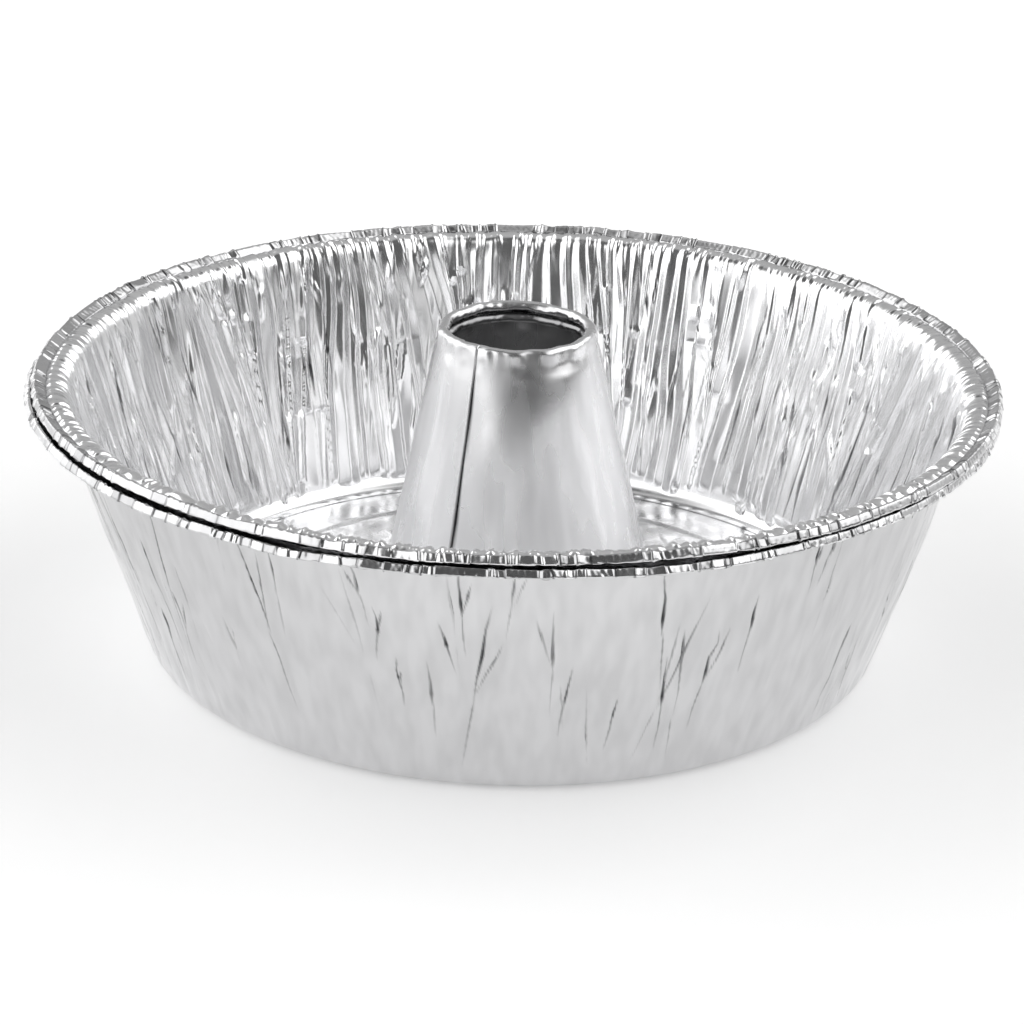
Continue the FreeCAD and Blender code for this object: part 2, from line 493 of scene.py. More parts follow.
def creases(outer, inner, shape, look, rng):
    """Slits outside with painted shade at their bottoms, each with a fine tail and some with a twin that
    meets its foot.
    """
    top = outer.along[-1]
    rim = top - shape.sizes.shelf_width - 2.0 * MM
    low = shape.sizes.corner_bend * 1.5
    cover = 0.16 * MM
    ridge = 2.4 * MM
    for angle in spaced(rng, 5.4 * MM, 0.6, 2.0 * MM, 18.0 * MM, shape.wall_top):
        from_rim = rng.random() < 0.55
        high = rim + 1.5 * MM if from_rim else rng.uniform(0.45, 0.9) * rim
        size = np.clip(rng.lognormal(math.log(17.0), 0.45), 6.0, 36.0) * MM
        foot = max(low + 4.0 * MM, high - size)
        lean = rng.normal(0.0, 0.09)
        line = Line(rng, angle, foot, high, lean, 0.28 * MM)
        width = rng.uniform(0.45, 0.95) * MM
        depth = look.crease_depth * rng.uniform(0.5, 1.0)
        dark = rng.choice([0.5, 0.8, 1.0, 1.0])
        peak = rng.choice([0.25, 0.5, 0.85])
        cut_slit(outer, line, width, depth, depth * 0.3, dark, peak, 1.0)
        raise_ridge(inner, line, ridge, depth + cover, peak)
        start = angle + (foot - high) * lean / shape.wall_top
        tail = Line(rng, start, max(low, foot - size * 0.8), foot + 2.0 * MM, lean, 0.15 * MM)
        cut_slit(outer, tail, 0.42 * MM, 0.06 * MM, 0.05 * MM, dark * 0.7, 0.8, 1.0)
        if rng.random() < 0.5:
            spread = rng.choice([-1.0, 1.0]) * rng.uniform(0.16, 0.30)
            twin_high = min(high, foot + rng.uniform(0.5, 1.0) * size)
            start -= (lean + spread) * (foot - twin_high) / shape.wall_top
            twin = Line(rng, start, foot, twin_high, lean + spread, 0.12 * MM)
            twin_dark = dark * rng.uniform(0.4, 1.0)
            cut_slit(outer, twin, width * 0.8, depth * 0.8, depth * 0.2, twin_dark, 0.7, 1.0)
            raise_ridge(inner, twin, ridge, depth * 0.8 + cover, 0.7)


def fine_lines(outer, shape, rng):
    """Many shallow lines outside with faint painted shade, and soft streaks where the foil is a little high
    or low.
    """
    rim = outer.along[-1] - shape.sizes.shelf_width - 2.0 * MM
    low = shape.sizes.corner_bend * 1.5
    for _ in range(240):
        high = rng.uniform(0.3, 1.0) * rim
        foot = max(low, high - rng.uniform(8.0, 38.0) * MM)
        angle = rng.uniform(0.0, 2.0 * math.pi)
        line = Line(rng, angle, foot, high, rng.normal(0.0, 0.07), 0.2 * MM)
        width = rng.uniform(0.34, 0.6) * MM
        depth = rng.uniform(0.02, 0.07) * MM
        flap = rng.uniform(0.02, 0.10) * MM
        dark = rng.uniform(0.03, 0.28)
        cut_slit(outer, line, width, depth, flap, dark, rng.uniform(0.2, 0.8), 1.0)
    for _ in range(260):
        high = rng.uniform(0.15, 0.75) * rim
        foot = max(low * 0.8, high - rng.uniform(10.0, 26.0) * MM)
        angle = rng.uniform(0.0, 2.0 * math.pi)
        line = Line(rng, angle, foot, high, rng.normal(0.0, 0.07), 0.3 * MM)
        height = rng.uniform(-0.26, 0.14) * MM
        peak = rng.uniform(0.2, 0.8)
        raise_ridge(outer, line, rng.uniform(1.0, 2.8) * MM, height, peak)


# ---------------------------------------------------------------- rim shape


def rim_lift(angles, pan):
    """How far the rim of a pan stands off its design height: the rims part at the front."""
    apart = 0.12 * np.clip(-np.sin(angles), 0.0, 1.0) ** 0.5 - 0.5
    for middle, width, gap in RIM_GAPS:
        apart = apart + gap * swell(angles, middle, width)
    share = 0.35 if pan == "upper_pan" else -0.65
    waves = sum(size * np.cos(laps * angles + start[pan]) for laps, start, size in RIM_WAVES)
    return (share * apart + waves) * MM


def rim_spread(angles, pan):
    """How far the rim of a pan has been pushed outwards. The lower pan also stands to -X."""
    if pan == "upper_pan":
        return np.full_like(angles, -0.35 * MM)
    return 0.4 * MM - 1.0 * MM * np.cos(angles)


def tube_slip(height, shape):
    """How far the tube stands to the side: a little off the middle at its foot, upright at its top."""
    return FOOT_SLIP * (1.0 - np.clip(height / shape.curl_start, 0.0, 1.0)) - TUBE_SHIFT


def polar(points):
    return np.hypot(points[:, 0], points[:, 1]), np.arctan2(points[:, 1], points[:, 0])


def place(points, pan, lift, shape):
    """Points of one pan at rest in the frame, with its rim's leaning and bending."""
    radius, angles = polar(points)
    height = points[:, 2]
    moved = points.copy()
    top_share = smooth(0.55 * shape.hem_top, shape.hem_top, height)
    side_share = smooth(0.35 * shape.hem_top, shape.hem_top, height)
    spread = side_share * rim_spread(angles, pan)
    moved[:, :2] *= (1.0 + spread / np.maximum(radius, 1e-6))[:, None]
    moved[:, 2] = height + top_share * rim_lift(angles, pan)
    if pan == "lower_pan":
        on_hem = radius > shape.crease
        squashed = shape.crease_z + (height - shape.crease_z) * 0.94
        moved[:, 2] += np.where(on_hem, squashed - height, 0.0)
    moved[:, 2] += lift
    return moved


# ---------------------------------------------------------------- meshes


def grid_faces(rows, columns, closed):
    """Quads of a grid of rows by columns, closed round its columns or not."""
    row, column = np.meshgrid(np.arange(rows - 1), np.arange(columns - (not closed)), indexing="ij")
    after = (column + 1) % columns
    return np.stack([row * columns + column, row * columns + after,
                     (row + 1) * columns + after, (row + 1) * columns + column], axis=-1).reshape(-1, 4)


def new_mesh(name, points, quads, triangles=()):
    triangles = np.array(triangles, int)
    loops = np.concatenate([quads.ravel(), triangles.ravel()])
    starts = np.arange(0, quads.size, 4)
    starts = np.concatenate([starts, quads.size + np.arange(0, triangles.size, 3)])
    mesh = bpy.data.meshes.new(name)
    mesh.vertices.add(points.size // 3)
    mesh.vertices.foreach_set("co", points.astype(np.float32).ravel())
    mesh.loops.add(len(loops))
    mesh.loops.foreach_set("vertex_index", loops.astype(np.int32))
    mesh.polygons.add(len(starts))
    mesh.polygons.foreach_set("loop_start", starts.astype(np.int32))
    mesh.update(calc_edges=True)
    mesh.validate()
    mesh.polygons.foreach_set("use_smooth", np.ones(len(mesh.polygons), bool))
    return mesh


def store_painted_shade(mesh, painted_shades):
    """Stores the painted shade of each vertex: in closed folds, along the tube's seam, on the hem's facets
    and over whole darkened faces.
    """
    layer = mesh.attributes.new("fold", "FLOAT", "POINT")
    layer.data.foreach_set("value", painted_shades.astype(np.float32).ravel())


def grid_normals(points):
    """Normals of a grid of points that closes round its columns and is open along its rows."""
    along = np.gradient(points, axis=0)
    across = np.roll(points, -1, axis=1) - np.roll(points, 1, axis=1)
    normals = np.cross(across, along)
    return normals / np.maximum(np.linalg.norm(normals, axis=2, keepdims=True), 1e-12)


def add_piece(name, mesh, material, body, node):
    """Links a finished mesh as a piece of a body that stands for a frame node."""
    piece = bpy.data.objects.new(name, mesh)
    bpy.context.scene.collection.objects.link(piece)
    mesh.materials.clear()
    mesh.materials.append(material)
    mesh.polygons.foreach_set("use_smooth", np.ones(len(mesh.polygons), bool))
    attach(piece, body)
    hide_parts(node)
    return piece


def stacked(inside, outside):
    """Rows of the inner face upwards, then of the outer face back down."""
    return np.concatenate([inside, outside[::-1]], axis=0)


def end_caps(inner_rows, rows, width):
    """Triangles that close one end of a strip between its inner rows and its outer rows."""
    low, high = 0, rows - 1
    caps = []
    while high - low > 1:
        inner_behind = (low + 1) / inner_rows < (rows - high) / (rows - inner_rows)
        if high == inner_rows or (low + 1 < inner_rows and inner_behind):
            caps.append((low, low + 1, high))
            low += 1
        else:
            caps.append((low, high - 1, high))
            high -= 1
    return np.array(caps) * width


def sector_meshes(name, inside, outside, painted_shades, sectors):
    """The foil sheet cut into equal closed sectors whose shading runs on across the cuts."""
    points = stacked(inside, outside)
    normals = stacked(grid_normals(inside), -grid_normals(outside))
    rows, columns = points.shape[:2]
    size = columns // sectors
    width = size + 1
    step = np.arange(size)
    last = (rows - 1) * width + step
    foot = np.stack([step + 1, step, last, last + 1], axis=-1)
    quads = np.concatenate([grid_faces(rows, width, closed=False), foot])
    caps = end_caps(len(inside), rows, width)
    ends = np.concatenate([caps, (caps + size)[:, ::-1]])
    meshes = []
    for k in range(sectors):
        picked = np.arange(k * size, (k + 1) * size + 1) % columns
        mesh = new_mesh(f"{name}_{k + 1}", points[:, picked], quads, ends)
        store_painted_shade(mesh, painted_shades[:, picked])
        mesh.normals_split_custom_set_from_vertices(normals[:, picked].reshape(-1, 3))
        meshes.append(mesh)
    return meshes


def slits(field, rng, shoulder, radius):
    """Folds on the cake side that have closed: slits with bold painted shade and faint ones."""
    for angle in spaced(rng, 4.0 * MM, 0.6, 1.2 * MM, 15.0 * MM, radius):
        high = rng.uniform(0.35, 1.0) * shoulder
        foot = max(8.0 * MM, high - rng.lognormal(math.log(19.0), 0.5) * MM)
        line = Line(rng, angle, foot, high, rng.normal(0.0, 0.06), 0.14 * MM)
        bold = rng.random() < 0.6
        width = rng.uniform(0.5, 0.95 if bold else 0.7) * MM
        depth = rng.uniform(0.1, 0.4) * MM
        flap = rng.uniform(0.05, 0.3) * MM
        dark = rng.uniform(0.7, 1.0) if bold else rng.uniform(0.05, 0.4)
        cut_slit(field, line, width, depth, flap, dark, rng.uniform(0.2, 0.8), -1.0)


def flutes(field, rng, shoulder, radius):
    """Short ridges that run over the bend of the shoulder to the crease of the rim."""
    high = field.along[-1] - 0.3 * MM
    for angle in spaced(rng, 2.4 * MM, 0.5, 1.0 * MM, 9.0 * MM, radius):
        foot = shoulder - rng.choice([1.0, 3.0, 9.0]) * rng.uniform(0.5, 1.6) * MM
        line = Line(rng, angle, foot, high, rng.normal(0.0, 0.12), 0.08 * MM)
        raise_ridge(field, line, rng.uniform(0.7, 1.7) * MM, rng.uniform(0.12, 0.42) * MM, 0.75)


def cake_side(field, shape, look, rng, upper):
    """Pleats of the inner face. The upper pan's are deep; the lower pan's leave room for it."""
    along = field.along[:, None]
    top = field.along[-1]
    shoulder = top - shape.sizes.shelf_width - 2.6 * MM
    if upper:
        pleats(field, shape, rng, look.pleat_width * 0.85, 0.15 * MM)
        field.height *= 1.0 - 0.7 * smooth(0.5 * top, 0.8 * top, along)
    pleats(field, shape, rng, look.pleat_width, look.pleat_depth if upper else 0.35 * MM)
    field.height *= 1.0 - 0.3 * smooth(shoulder - 3.0 * MM, shoulder + 1.5 * MM, along)
    if upper:
        knots(field, rng, 30, 0.16 * MM)
        slits(field, rng, shoulder, shape.wall_top)
        flutes(field, rng, shoulder, shape.wall_top)


def soft_dents(inner, outer, seed):
    """Soft unevenness of both faces, and flat dents low on the outer one."""
    for field in (inner, outer):
        along = field.along[:, None]
        angles = field.angles[None, :]
        share = smooth(3.0 * MM, 10.0 * MM, along)
        small = ripple(angles, along, seed + 5, 0.1, 8.0 * MM, 22.0 * MM)
        large = ripple(angles, along, seed + 6, 0.1, 30.0 * MM, 40.0 * MM)
        field.height += (small * 0.03 + large * 0.05) * MM * share
    along = outer.along[:, None]
    near_base = smooth(2.0 * MM, 7.0 * MM, along) * (1.0 - smooth(12.0 * MM, 24.0 * MM, along))
    dents = ripple(outer.angles[None, :], along, seed + 7, 0.095, 9.0 * MM, 11.0 * MM) * 0.07 * MM
    outer.height += np.clip(dents, -0.10 * MM, 0.04 * MM) * near_base


def wall_meshes(context, pan, lift, seed):
    """Corner, pleated wall and shoulder of one pan, cut into sectors."""
    shape = shape_of(context)
    look = context.scene.foil_pan_look
    rng = np.random.default_rng(seed)
    upper = pan == "upper_pan"
    seen, hidden = (1.05 * MM, 0.6 * MM), (2.6 * MM, 1.3 * MM)
    inner = Field(shape.wall_corners(), WALL_COLUMNS, *(seen if upper else hidden))
    outer = Field(shape.wall_corners(), WALL_COLUMNS, *(hidden if upper else seen))
    cake_side(inner, shape, look, rng, upper)
    creases(outer, inner, shape, look, rng)
    fine_lines(outer, shape, rng)
    soft_dents(inner, outer, seed)
    top = inner.along[-1]
    for field in (inner, outer):
        along = field.along[:, None]
        field.height *= smooth(0.0, 1.5 * MM, along) * (1.0 - smooth(top - 0.7 * MM, top, along))
    inner.height = np.maximum(inner.height, 0.0)
    # Painted shade: the whole outer face is darkened a little.
    outer.fold = np.maximum(outer.fold, PAINTED_OUTER_SHADE)
    skins = []
    for field, side in ((inner, shape.half), (outer, -shape.half)):
        points = field.skin(side)
        skins.append(place(points.reshape(-1, 3), pan, lift, shape).reshape(points.shape))
    return sector_meshes(f"{pan}_wall", *skins, stacked(inner.fold, outer.fold), WALL_SECTORS)


def pinch_hem(field, centre, depth, narrow, painted_darkness):
    """A short sharp crease across the hem, with painted shade at its bottom."""
    reach = 1.0 * MM
    rows = np.arange(len(field.along))

    def pinch(across):
        return depth * np.exp(-((across / narrow) ** 2))

    def shade(across):
        return painted_darkness * np.exp(-((across / (0.3 * MM)) ** 2))

    field.stamp(rows, centre, reach, pinch, np.add)
    field.stamp(rows, centre, reach, shade, np.maximum, "fold")


def crimp_hem(field, bounds, rim_radius, crest, rng):
    """Facets of the crimped hem, each with its own tilt and its own painted shade, and pinches between
    them.
    """
    ends = np.append(bounds, 2.0 * math.pi)
    cell = np.searchsorted(ends, field.angles, side="right")
    before = np.concatenate([[0.0], ends])[cell]
    after = ends[cell]
    width = np.minimum((after - before) * rim_radius, 2.2 * MM)
    spot = (field.angles - before) / (after - before) - 0.5
    count = len(ends)
    offset = rng.normal(0.0, 0.05 * MM, count)[cell]
    twist = rng.normal(0.0, 0.05, count)[cell]
    slope = np.clip(rng.normal(0.0, 0.16, count), -0.4, 0.4)[cell]
    bulge = rng.normal(-0.04, 0.08, count)[cell] * MM
    facet = offset + slope * width * spot + bulge * (1.0 - 4.0 * spot ** 2)
    field.height += facet[None, :] + twist[None, :] * (field.along[:, None] - crest)
    for end in ends:
        depth = rng.uniform(0.12, 0.34) * MM * rng.choice([-1.0, 1.0], p=[0.35, 0.65])
        narrow = rng.uniform(0.18, 0.30) * MM
        skew = rng.normal(0.0, 0.14)
        centre = end + skew * (field.along - crest) / field.radius
        pinch_hem(field, centre, depth, narrow, rng.choice([0.0, 0.35, 0.6]))
    return rng.uniform(0.0, 0.42, count)[cell]


def hem_mesh(context, pan, lift, seed):
    """The rolled rim of one pan, crimped into facets."""
    shape = shape_of(context)
    look = context.scene.foil_pan_look
    sizes = shape.sizes
    rng = np.random.default_rng(seed + 1)
    field = Field(shape.hem_corners(), HEM_COLUMNS, 0.5 * MM, 0.25 * MM)
    along = field.along[:, None]
    most = 0.32 * MM
    crest = math.hypot(sizes.hem_width - sizes.hem_lean, sizes.hem_rise)
    lip = crest + math.hypot(sizes.hem_lean, sizes.hem_rise + sizes.hem_drop) - 0.65 * MM
    bounds = spaced(rng, look.hem_cell * 0.85, 0.75, 0.7 * MM, 12.0 * MM, sizes.rim_radius)
    painted_facet_shades = crimp_hem(field, bounds, sizes.rim_radius, crest, rng)
    grain = ripple(field.angles[None, :], along, seed + 8, 0.122, 1.8 * MM, 2.6 * MM)
    field.height += grain * 0.02 * MM
    # Painted shade: each facet of the hem is darkened by its own random amount.
    field.fold += painted_facet_shades
    field.height = np.clip(field.height, -most, most)
    edge = lip + ripple(field.angles, 0.0, seed + 9, 0.122, 5.0 * MM, 1.0, 24) * 0.22 * MM
    field.height *= smooth(0.0, 0.6 * MM, along) * (1.0 - 0.85 * smooth(edge, edge + 0.35 * MM, along))
    rows = np.arange(len(field.along))
    under = np.unique(np.append(rows[::3], rows[-1]))
    points = stacked(field.skin(shape.half), field.skin(-shape.half)[under])
    row_count, columns = points.shape[:2]
    column = np.arange(columns)
    after = (column + 1) % columns
    last = (row_count - 1) * columns
    ends = np.stack([last + column, last + after, after, column], axis=-1)
    quads = np.concatenate([grid_faces(row_count, columns, closed=True), ends])
    mesh = new_mesh(f"{pan}_hem", place(points.reshape(-1, 3), pan, lift, shape), quads)
    store_painted_shade(mesh, stacked(field.fold, field.fold[under]))
    return mesh


# ---------------------------------------------------------------- node trees


def add_node(tree, kind, inputs=None, **settings):
    """Adds a node with its settings. An input is a value, a node (its first output) or a socket."""
    made = tree.nodes.new(kind)
    for name, value in settings.items():
        setattr(made, name, value)
    for key, value in (inputs or {}).items():
        if isinstance(value, bpy.types.Node):
            value = value.outputs[0]
        if isinstance(value, bpy.types.NodeSocket):
            tree.links.new(value, made.inputs[key])
        else:
            made.inputs[key].default_value = value
    return made


def new_tree(name, sizes, counts):
    """A geometry tree with named length, count and material inputs."""
    tree = bpy.data.node_groups.new(name, "GeometryNodeTree")
    tree.interface.new_socket("Geometry", in_out="OUTPUT", socket_type="NodeSocketGeometry")
    for label in sizes:
        tree.interface.new_socket(label, in_out="INPUT", socket_type="NodeSocketFloat")
    for label in counts:
        tree.interface.new_socket(label, in_out="INPUT", socket_type="NodeSocketInt")
    tree.interface.new_socket("Material", in_out="INPUT", socket_type="NodeSocketMaterial")
    return tree, tree.nodes.new("NodeGroupInput").outputs


def math_chain(tree, start, steps):
    """Applies (operation, value) steps in turn and gives the last node."""
    for operation, value in steps:
        start = add_node(tree, "ShaderNodeMath", {0: start, 1: value}, operation=operation)
    return start


def turned_grid(tree, given, radius, height, angle, grid):
    """Ends a tree: puts the grid's points at a radius, height and angle, and closes the seam."""
    x = math_chain(tree, add_node(tree, "ShaderNodeMath", {0: angle}, operation="COSINE"),
                   [("MULTIPLY", radius)])
    y = math_chain(tree, add_node(tree, "ShaderNodeMath", {0: angle}, operation="SINE"),
                   [("MULTIPLY", radius)])
    position = add_node(tree, "ShaderNodeCombineXYZ", {"X": x, "Y": y, "Z": height})
    placed = add_node(tree, "GeometryNodeSetPosition", {"Geometry": grid, "Position": position})
    merged = add_node(tree, "GeometryNodeMergeByDistance", {"Geometry": placed, "Distance": 1e-6})
    real = add_node(tree, "GeometryNodeRealizeInstances", {"Geometry": merged})
    done = add_node(tree, "GeometryNodeSetMaterial", {"Geometry": real, "Material": given["Material"]})
    add_node(tree, "NodeGroupOutput", {0: done})


def unit_grid(tree, given):
    """A grid from 0 to 1 both ways: across is round the pan and along is down its profile."""
    grid = add_node(tree, "GeometryNodeMeshGrid", {"Size X": 1.0, "Size Y": 1.0,
                    "Vertices X": given["Columns"], "Vertices Y": given["Rows"]})
    spot = add_node(tree, "ShaderNodeSeparateXYZ", {0: add_node(tree, "GeometryNodeInputPosition")})
    across = math_chain(tree, spot.outputs["X"], [("ADD", 0.5)])
    along = math_chain(tree, spot.outputs["Y"], [("ADD", 0.5)])
    return grid, across, along


def floor_tree():
    """Pressed floor: collar round the tube, raised panel, bead and flat ring, turned about Z."""
    tree, given = new_tree(
        "Pressed floor",
        ("Collar Radius", "Collar Height", "Collar Lean", "Panel Height", "Ring Height",
         "Bead Inner", "Bead Outer", "Bead Swell", "Outer Radius"),
        ("Columns", "Rows"),
    )
    grid, across, along = unit_grid(tree, given)
    collar_share = add_node(tree, "ShaderNodeMapRange", {"Value": along, 1: 0.0, 2: 0.05})
    floor_share = add_node(tree, "ShaderNodeMapRange", {"Value": along, 1: 0.05, 2: 1.0})
    above = math_chain(tree, given["Collar Height"],
                       [("MULTIPLY", math_chain(tree, 1.0, [("SUBTRACT", collar_share)]))])
    reach = math_chain(tree, given["Outer Radius"],
                       [("SUBTRACT", given["Collar Radius"]), ("MULTIPLY", floor_share)])
    lean = math_chain(tree, above, [("MULTIPLY", given["Collar Lean"])])
    radius = math_chain(tree, given["Collar Radius"], [("ADD", reach), ("SUBTRACT", lean)])
    over_bead = add_node(tree, "ShaderNodeMapRange",
                         {"Value": radius, 1: given["Bead Inner"], 2: given["Bead Outer"]})
    drop = math_chain(tree, given["Ring Height"],
                      [("SUBTRACT", given["Panel Height"]), ("MULTIPLY", over_bead)])
    arch = math_chain(tree, over_bead, [("MULTIPLY", math.pi)])
    swell = math_chain(tree, add_node(tree, "ShaderNodeMath", {0: arch}, operation="SINE"),
                       [("MAXIMUM", 0.0), ("POWER", 1.5), ("MULTIPLY", given["Bead Swell"])])
    height = math_chain(tree, given["Panel Height"], [("ADD", drop), ("ADD", swell), ("ADD", above)])
    angle = math_chain(tree, across, [("MULTIPLY", 2.0 * math.pi)])
    turned_grid(tree, given, radius, height, angle, grid)
    return tree


def tube_tree():
    """Rolled cone: foot flange, tapered wall with a lap, and a curl with a tucked end."""
    tree, given = new_tree(
        "Rolled tube",
        ("Foot Radius", "Foot Height", "Flange Width", "Wall Length", "Taper", "Curl Bend",
         "Return Bend", "Return Turn", "Lap Start", "Lap Angle", "Lap Slant", "Lap Step"),
        ("Columns", "Rows"),
    )
    grid, across, along = unit_grid(tree, given)
    flange = add_node(tree, "ShaderNodeMapRange", {"Value": along, 1: 0.0, 2: 0.05})
    wall = add_node(tree, "ShaderNodeMapRange", {"Value": along, 1: 0.05, 2: 0.6})
    curl = add_node(tree, "ShaderNodeMapRange", {"Value": along, 1: 0.6, 2: 0.88})
    tuck = add_node(tree, "ShaderNodeMapRange", {"Value": along, 1: 0.88, 2: 1.0})
    sine = add_node(tree, "ShaderNodeMath", {0: given["Taper"]}, operation="SINE")
    cosine = add_node(tree, "ShaderNodeMath", {0: given["Taper"]}, operation="COSINE")
    up_wall = math_chain(tree, given["Wall Length"], [("MULTIPLY", wall)])
    half_turn = math_chain(tree, math.pi, [("SUBTRACT", given["Taper"]), ("MULTIPLY", curl)])
    heading = math_chain(tree, half_turn, [("ADD", given["Taper"])])
    curl_in = math_chain(tree, cosine,
                         [("SUBTRACT", add_node(tree, "ShaderNodeMath", {0: heading}, operation="COSINE")),
                          ("MULTIPLY", given["Curl Bend"])])
    curl_up = math_chain(tree, add_node(tree, "ShaderNodeMath", {0: heading}, operation="SINE"),
                         [("SUBTRACT", sine), ("MULTIPLY", given["Curl Bend"])])
    back = math_chain(tree, given["Return Turn"], [("MULTIPLY", tuck)])
    tuck_out = math_chain(tree, 1.0,
                          [("SUBTRACT", add_node(tree, "ShaderNodeMath", {0: back}, operation="COSINE")),
                           ("MULTIPLY", given["Return Bend"])])
    tuck_down = math_chain(tree, add_node(tree, "ShaderNodeMath", {0: back}, operation="SINE"),
                           [("MULTIPLY", given["Return Bend"])])
    spread = math_chain(tree, 1.0, [("SUBTRACT", flange), ("MULTIPLY", given["Flange Width"])])
    wall_in = math_chain(tree, up_wall, [("MULTIPLY", sine)])
    wall_up = math_chain(tree, up_wall, [("MULTIPLY", cosine)])
    lap = math_chain(tree, given["Lap Slant"], [("MULTIPLY", wall), ("ADD", given["Lap Angle"])])
    sweep = math_chain(tree, lap, [("ADD", 2.0 * math.pi), ("MULTIPLY", across)])
    over = add_node(tree, "ShaderNodeMapRange", {"Value": sweep, 1: 2.0 * math.pi - 0.12, 2: 2.0 * math.pi},
                    interpolation_type="SMOOTHSTEP")
    proud = math_chain(tree, over, [("MULTIPLY", given["Lap Step"])])
    radius = math_chain(tree, given["Foot Radius"],
                        [("ADD", spread), ("SUBTRACT", wall_in), ("SUBTRACT", curl_in),
                         ("ADD", tuck_out), ("ADD", proud)])
    height = math_chain(tree, given["Foot Height"],
                        [("ADD", wall_up), ("ADD", curl_up), ("SUBTRACT", tuck_down)])
    angle = math_chain(tree, sweep, [("ADD", given["Lap Start"])])
    turned_grid(tree, given, radius, height, angle, grid)
    return tree


def grown(tree, values, name):
    """The plain mesh that a tree makes with these input values."""
    holder = bpy.data.objects.new(name, bpy.data.meshes.new(name))
    bpy.context.scene.collection.objects.link(holder)
    modifier = holder.modifiers.new("Shape", "NODES")
    modifier.node_group = tree
    for item in tree.interface.items_tree:
        if item.item_type == "SOCKET" and item.in_out == "INPUT":
            modifier[item.identifier] = values[item.name]
    graph = bpy.context.evaluated_depsgraph_get()
    mesh = bpy.data.meshes.new_from_object(holder.evaluated_get(graph))
    mesh.name = name
    bpy.data.objects.remove(holder)
    return mesh


def thickened(mesh, thickness, offset):
    """The mesh with its foil thickness, applied."""
    holder = bpy.data.objects.new("thicken", mesh)
    bpy.context.scene.collection.objects.link(holder)
    modifier = holder.modifiers.new("Foil", "SOLIDIFY")
    modifier.thickness = thickness
    modifier.offset = offset
    graph = bpy.context.evaluated_depsgraph_get()
    done = bpy.data.meshes.new_from_object(holder.evaluated_get(graph))
    done.name = mesh.name
    bpy.data.objects.remove(holder)
    bpy.data.meshes.remove(mesh)
    return done


def mesh_points(mesh):
    points = np.zeros(len(mesh.vertices) * 3, np.float32)
    mesh.vertices.foreach_get("co", points)
    return points.reshape(-1, 3).astype(float)


def set_points(mesh, points):
    mesh.vertices.foreach_set("co", points.astype(np.float32).ravel())
    mesh.update()


def floor_mesh(context, pan, lift, seed, tree, material):
    """The floor of one pan, with the soft dents of handling."""
    shape = shape_of(context)
    look = context.scene.foil_pan_look
    sizes = shape.sizes
    collar = shape.tube_radius(shape.panel_z) + sizes.foil + sizes.seat_gap
    mesh = grown(tree, {
        "Collar Radius": collar,
        "Collar Height": sizes.collar_height,
        "Collar Lean": math.tan(sizes.tube_taper),
        "Panel Height": shape.panel_z,
        "Ring Height": shape.floor_z,
        "Bead Inner": shape.bead_inner,
        "Bead Outer": shape.bead_outer,
        "Bead Swell": sizes.bead_height - sizes.panel_rise / 2.0,
        "Outer Radius": shape.corner,
        "Columns": 281,
        "Rows": 64,
        "Material": material,
    }, f"{pan}_floor")
    points = mesh_points(mesh)
    radius, angles = polar(points)
    inner = smooth(collar + 1.0 * MM, collar + 8.0 * MM, radius)
    outer = 1.0 - smooth(shape.corner - 5.0 * MM, shape.corner, radius)
    waves = ripple(angles, radius, seed + 20, 0.07, 26.0 * MM, 20.0 * MM)
    waves += 0.45 * ripple(angles, radius, seed + 21, 0.08, 9.0 * MM, 9.0 * MM)
    panel = 1.0 - smooth(shape.bead_inner - 4.0 * MM, shape.bead_inner, radius)
    points[:, 2] += look.dent_depth * waves * inner * outer * (0.35 + 0.65 * panel)
    points[:, 2] = np.maximum(points[:, 2], shape.half)
    points[:, 0] += tube_slip(points[:, 2], shape) * (1.0 - smooth(collar, shape.bead_inner, radius))
    set_points(mesh, place(points, pan, lift, shape))
    return thickened(mesh, sizes.foil, 0.0)


